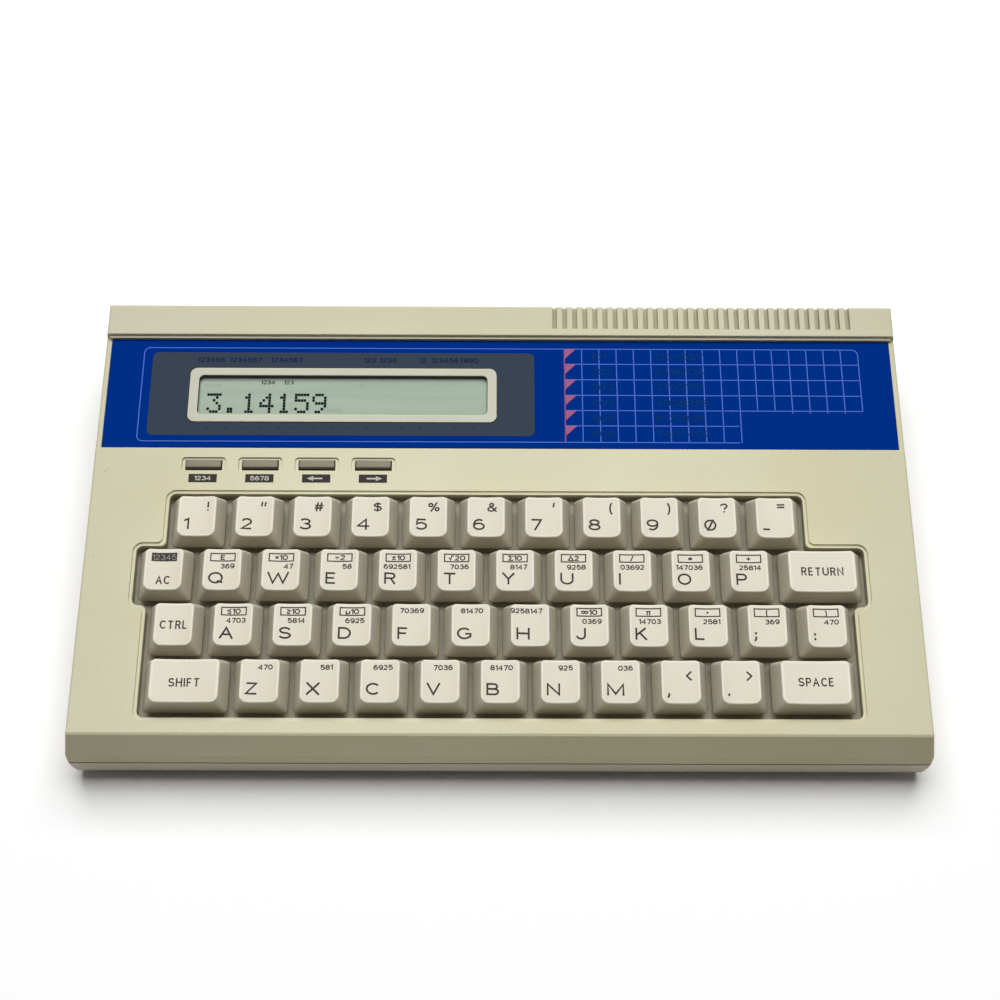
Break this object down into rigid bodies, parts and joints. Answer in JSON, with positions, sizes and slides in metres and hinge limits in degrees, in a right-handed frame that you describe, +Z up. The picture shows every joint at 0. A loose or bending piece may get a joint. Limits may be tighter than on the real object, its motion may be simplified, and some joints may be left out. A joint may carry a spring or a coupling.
{
  "type": "vintage home computer",
  "caption": "Wedge-shaped ivory battery computer: moulded keyboard in a stepped well, function buttons, one-line display in a blue printed panel, grooved header, rear jacks.",
  "frame": {"origin": "centre of the case footprint on the table, under the four feet", "axes": "+X to the right along the keyboard, +Y from the space bar side to the rear wall, +Z up"},
  "size_m": [0.2768, 0.1606, 0.0379],
  "materials": {
    "case_upper": "fine matt moulded texture, warm ivory",
    "case_lower": "fine matt moulded texture, warm ivory",
    "printed_panel": "satin blue print with lilac lines",
    "lcd": "grey-green reflective display under clear film",
    "board": "green solder mask",
    "rubber": "dark grey silicone",
    "cell": "plain printed sleeve on a metal can",
    "screw_steel": "zinc-plated",
    "switch": "matt dark grey",
    "keycap": "fine matt cream with printed legends",
    "button": "matt warm grey"
  },
  "bodies": {
    "case": {"top_cover": "case_upper", "bottom_cover": "case_lower", "display_panel": "printed_panel", "lcd_module": "lcd", "main_board": "board", "dome_sheet": "rubber", "batteries": "cell", "case_screws": "screw_steel"},
    "key_1": {"key_1": "keycap"},
    "key_2": {"key_2": "keycap"},
    "key_3": {"key_3": "keycap"},
    "key_4": {"key_4": "keycap"},
    "key_5": {"key_5": "keycap"},
    "key_6": {"key_6": "keycap"},
    "key_7": {"key_7": "keycap"},
    "key_8": {"key_8": "keycap"},
    "key_9": {"key_9": "keycap"},
    "key_0": {"key_0": "keycap"},
    "key_equals": {"key_equals": "keycap"},
    "key_ac": {"key_ac": "keycap"},
    "key_q": {"key_q": "keycap"},
    "key_w": {"key_w": "keycap"},
    "key_e": {"key_e": "keycap"},
    "key_r": {"key_r": "keycap"},
    "key_t": {"key_t": "keycap"},
    "key_y": {"key_y": "keycap"},
    "key_u": {"key_u": "keycap"},
    "key_i": {"key_i": "keycap"},
    "key_o": {"key_o": "keycap"},
    "key_p": {"key_p": "keycap"},
    "key_return": {"key_return": "keycap"},
    "key_ctrl": {"key_ctrl": "keycap"},
    "key_a": {"key_a": "keycap"},
    "key_s": {"key_s": "keycap"},
    "key_d": {"key_d": "keycap"},
    "key_f": {"key_f": "keycap"},
    "key_g": {"key_g": "keycap"},
    "key_h": {"key_h": "keycap"},
    "key_j": {"key_j": "keycap"},
    "key_k": {"key_k": "keycap"},
    "key_l": {"key_l": "keycap"},
    "key_semicolon": {"key_semicolon": "keycap"},
    "key_colon": {"key_colon": "keycap"},
    "key_shift": {"key_shift": "keycap"},
    "key_z": {"key_z": "keycap"},
    "key_x": {"key_x": "keycap"},
    "key_c": {"key_c": "keycap"},
    "key_v": {"key_v": "keycap"},
    "key_b": {"key_b": "keycap"},
    "key_n": {"key_n": "keycap"},
    "key_m": {"key_m": "keycap"},
    "key_comma": {"key_comma": "keycap"},
    "key_period": {"key_period": "keycap"},
    "key_space": {"key_space": "keycap"},
    "button_mode": {"button_mode": "button"},
    "button_program": {"button_program": "button"},
    "button_left": {"button_left": "button"},
    "button_right": {"button_right": "button"},
    "battery_door": {"battery_door": "case_lower"},
    "power_switch": {"power_switch": "switch"}
  },
  "joints": [
    {"name": "key_1_press", "type": "slide", "parent": "case", "child": "key_1", "axis": [0, 0.0698, -0.9976], "range_m": [0, 0.0028], "stiffness_N_per_m": 150, "springref_m": -0.001},
    {"name": "key_2_press", "type": "slide", "parent": "case", "child": "key_2", "axis": [0, 0.0698, -0.9976], "range_m": [0, 0.0028], "stiffness_N_per_m": 150, "springref_m": -0.001},
    {"name": "key_3_press", "type": "slide", "parent": "case", "child": "key_3", "axis": [0, 0.0698, -0.9976], "range_m": [0, 0.0028], "stiffness_N_per_m": 150, "springref_m": -0.001},
    {"name": "key_4_press", "type": "slide", "parent": "case", "child": "key_4", "axis": [0, 0.0698, -0.9976], "range_m": [0, 0.0028], "stiffness_N_per_m": 150, "springref_m": -0.001},
    {"name": "key_5_press", "type": "slide", "parent": "case", "child": "key_5", "axis": [0, 0.0698, -0.9976], "range_m": [0, 0.0028], "stiffness_N_per_m": 150, "springref_m": -0.001},
    {"name": "key_6_press", "type": "slide", "parent": "case", "child": "key_6", "axis": [0, 0.0698, -0.9976], "range_m": [0, 0.0028], "stiffness_N_per_m": 150, "springref_m": -0.001},
    {"name": "key_7_press", "type": "slide", "parent": "case", "child": "key_7", "axis": [0, 0.0698, -0.9976], "range_m": [0, 0.0028], "stiffness_N_per_m": 150, "springref_m": -0.001},
    {"name": "key_8_press", "type": "slide", "parent": "case", "child": "key_8", "axis": [0, 0.0698, -0.9976], "range_m": [0, 0.0028], "stiffness_N_per_m": 150, "springref_m": -0.001},
    {"name": "key_9_press", "type": "slide", "parent": "case", "child": "key_9", "axis": [0, 0.0698, -0.9976], "range_m": [0, 0.0028], "stiffness_N_per_m": 150, "springref_m": -0.001},
    {"name": "key_0_press", "type": "slide", "parent": "case", "child": "key_0", "axis": [0, 0.0698, -0.9976], "range_m": [0, 0.0028], "stiffness_N_per_m": 150, "springref_m": -0.001},
    {"name": "key_equals_press", "type": "slide", "parent": "case", "child": "key_equals", "axis": [0, 0.0698, -0.9976], "range_m": [0, 0.0028], "stiffness_N_per_m": 150, "springref_m": -0.001},
    {"name": "key_ac_press", "type": "slide", "parent": "case", "child": "key_ac", "axis": [0, 0.0698, -0.9976], "range_m": [0, 0.0028], "stiffness_N_per_m": 150, "springref_m": -0.001},
    {"name": "key_q_press", "type": "slide", "parent": "case", "child": "key_q", "axis": [0, 0.0698, -0.9976], "range_m": [0, 0.0028], "stiffness_N_per_m": 150, "springref_m": -0.001},
    {"name": "key_w_press", "type": "slide", "parent": "case", "child": "key_w", "axis": [0, 0.0698, -0.9976], "range_m": [0, 0.0028], "stiffness_N_per_m": 150, "springref_m": -0.001},
    {"name": "key_e_press", "type": "slide", "parent": "case", "child": "key_e", "axis": [0, 0.0698, -0.9976], "range_m": [0, 0.0028], "stiffness_N_per_m": 150, "springref_m": -0.001},
    {"name": "key_r_press", "type": "slide", "parent": "case", "child": "key_r", "axis": [0, 0.0698, -0.9976], "range_m": [0, 0.0028], "stiffness_N_per_m": 150, "springref_m": -0.001},
    {"name": "key_t_press", "type": "slide", "parent": "case", "child": "key_t", "axis": [0, 0.0698, -0.9976], "range_m": [0, 0.0028], "stiffness_N_per_m": 150, "springref_m": -0.001},
    {"name": "key_y_press", "type": "slide", "parent": "case", "child": "key_y", "axis": [0, 0.0698, -0.9976], "range_m": [0, 0.0028], "stiffness_N_per_m": 150, "springref_m": -0.001},
    {"name": "key_u_press", "type": "slide", "parent": "case", "child": "key_u", "axis": [0, 0.0698, -0.9976], "range_m": [0, 0.0028], "stiffness_N_per_m": 150, "springref_m": -0.001},
    {"name": "key_i_press", "type": "slide", "parent": "case", "child": "key_i", "axis": [0, 0.0698, -0.9976], "range_m": [0, 0.0028], "stiffness_N_per_m": 150, "springref_m": -0.001},
    {"name": "key_o_press", "type": "slide", "parent": "case", "child": "key_o", "axis": [0, 0.0698, -0.9976], "range_m": [0, 0.0028], "stiffness_N_per_m": 150, "springref_m": -0.001},
    {"name": "key_p_press", "type": "slide", "parent": "case", "child": "key_p", "axis": [0, 0.0698, -0.9976], "range_m": [0, 0.0028], "stiffness_N_per_m": 150, "springref_m": -0.001},
    {"name": "key_return_press", "type": "slide", "parent": "case", "child": "key_return", "axis": [0, 0.0698, -0.9976], "range_m": [0, 0.0028], "stiffness_N_per_m": 180, "springref_m": -0.001},
    {"name": "key_ctrl_press", "type": "slide", "parent": "case", "child": "key_ctrl", "axis": [0, 0.0698, -0.9976], "range_m": [0, 0.0028], "stiffness_N_per_m": 150, "springref_m": -0.001},
    {"name": "key_a_press", "type": "slide", "parent": "case", "child": "key_a", "axis": [0, 0.0698, -0.9976], "range_m": [0, 0.0028], "stiffness_N_per_m": 150, "springref_m": -0.001},
    {"name": "key_s_press", "type": "slide", "parent": "case", "child": "key_s", "axis": [0, 0.0698, -0.9976], "range_m": [0, 0.0028], "stiffness_N_per_m": 150, "springref_m": -0.001},
    {"name": "key_d_press", "type": "slide", "parent": "case", "child": "key_d", "axis": [0, 0.0698, -0.9976], "range_m": [0, 0.0028], "stiffness_N_per_m": 150, "springref_m": -0.001},
    {"name": "key_f_press", "type": "slide", "parent": "case", "child": "key_f", "axis": [0, 0.0698, -0.9976], "range_m": [0, 0.0028], "stiffness_N_per_m": 150, "springref_m": -0.001},
    {"name": "key_g_press", "type": "slide", "parent": "case", "child": "key_g", "axis": [0, 0.0698, -0.9976], "range_m": [0, 0.0028], "stiffness_N_per_m": 150, "springref_m": -0.001},
    {"name": "key_h_press", "type": "slide", "parent": "case", "child": "key_h", "axis": [0, 0.0698, -0.9976], "range_m": [0, 0.0028], "stiffness_N_per_m": 150, "springref_m": -0.001},
    {"name": "key_j_press", "type": "slide", "parent": "case", "child": "key_j", "axis": [0, 0.0698, -0.9976], "range_m": [0, 0.0028], "stiffness_N_per_m": 150, "springref_m": -0.001},
    {"name": "key_k_press", "type": "slide", "parent": "case", "child": "key_k", "axis": [0, 0.0698, -0.9976], "range_m": [0, 0.0028], "stiffness_N_per_m": 150, "springref_m": -0.001},
    {"name": "key_l_press", "type": "slide", "parent": "case", "child": "key_l", "axis": [0, 0.0698, -0.9976], "range_m": [0, 0.0028], "stiffness_N_per_m": 150, "springref_m": -0.001},
    {"name": "key_semicolon_press", "type": "slide", "parent": "case", "child": "key_semicolon", "axis": [0, 0.0698, -0.9976], "range_m": [0, 0.0028], "stiffness_N_per_m": 150, "springref_m": -0.001},
    {"name": "key_colon_press", "type": "slide", "parent": "case", "child": "key_colon", "axis": [0, 0.0698, -0.9976], "range_m": [0, 0.0028], "stiffness_N_per_m": 150, "springref_m": -0.001},
    {"name": "key_shift_press", "type": "slide", "parent": "case", "child": "key_shift", "axis": [0, 0.0698, -0.9976], "range_m": [0, 0.0028], "stiffness_N_per_m": 180, "springref_m": -0.001},
    {"name": "key_z_press", "type": "slide", "parent": "case", "child": "key_z", "axis": [0, 0.0698, -0.9976], "range_m": [0, 0.0028], "stiffness_N_per_m": 150, "springref_m": -0.001},
    {"name": "key_x_press", "type": "slide", "parent": "case", "child": "key_x", "axis": [0, 0.0698, -0.9976], "range_m": [0, 0.0028], "stiffness_N_per_m": 150, "springref_m": -0.001},
    {"name": "key_c_press", "type": "slide", "parent": "case", "child": "key_c", "axis": [0, 0.0698, -0.9976], "range_m": [0, 0.0028], "stiffness_N_per_m": 150, "springref_m": -0.001},
    {"name": "key_v_press", "type": "slide", "parent": "case", "child": "key_v", "axis": [0, 0.0698, -0.9976], "range_m": [0, 0.0028], "stiffness_N_per_m": 150, "springref_m": -0.001},
    {"name": "key_b_press", "type": "slide", "parent": "case", "child": "key_b", "axis": [0, 0.0698, -0.9976], "range_m": [0, 0.0028], "stiffness_N_per_m": 150, "springref_m": -0.001},
    {"name": "key_n_press", "type": "slide", "parent": "case", "child": "key_n", "axis": [0, 0.0698, -0.9976], "range_m": [0, 0.0028], "stiffness_N_per_m": 150, "springref_m": -0.001},
    {"name": "key_m_press", "type": "slide", "parent": "case", "child": "key_m", "axis": [0, 0.0698, -0.9976], "range_m": [0, 0.0028], "stiffness_N_per_m": 150, "springref_m": -0.001},
    {"name": "key_comma_press", "type": "slide", "parent": "case", "child": "key_comma", "axis": [0, 0.0698, -0.9976], "range_m": [0, 0.0028], "stiffness_N_per_m": 150, "springref_m": -0.001},
    {"name": "key_period_press", "type": "slide", "parent": "case", "child": "key_period", "axis": [0, 0.0698, -0.9976], "range_m": [0, 0.0028], "stiffness_N_per_m": 150, "springref_m": -0.001},
    {"name": "key_space_press", "type": "slide", "parent": "case", "child": "key_space", "axis": [0, 0.0698, -0.9976], "range_m": [0, 0.0028], "stiffness_N_per_m": 180, "springref_m": -0.001},
    {"name": "button_mode_press", "type": "slide", "parent": "case", "child": "button_mode", "axis": [0, 0.0698, -0.9976], "range_m": [0, 0.0012], "stiffness_N_per_m": 250, "springref_m": -0.001},
    {"name": "button_program_press", "type": "slide", "parent": "case", "child": "button_program", "axis": [0, 0.0698, -0.9976], "range_m": [0, 0.0012], "stiffness_N_per_m": 250, "springref_m": -0.001},
    {"name": "button_left_press", "type": "slide", "parent": "case", "child": "button_left", "axis": [0, 0.0698, -0.9976], "range_m": [0, 0.0012], "stiffness_N_per_m": 250, "springref_m": -0.001},
    {"name": "button_right_press", "type": "slide", "parent": "case", "child": "button_right", "axis": [0, 0.0698, -0.9976], "range_m": [0, 0.0012], "stiffness_N_per_m": 250, "springref_m": -0.001},
    {"name": "battery_door_slide", "type": "slide", "parent": "case", "child": "battery_door", "axis": [0, 1, 0], "range_m": [0, 0.036]},
    {"name": "power_switch_slide", "type": "slide", "parent": "case", "child": "power_switch", "axis": [1, 0, 0], "range_m": [0, 0.004]}
  ]
}
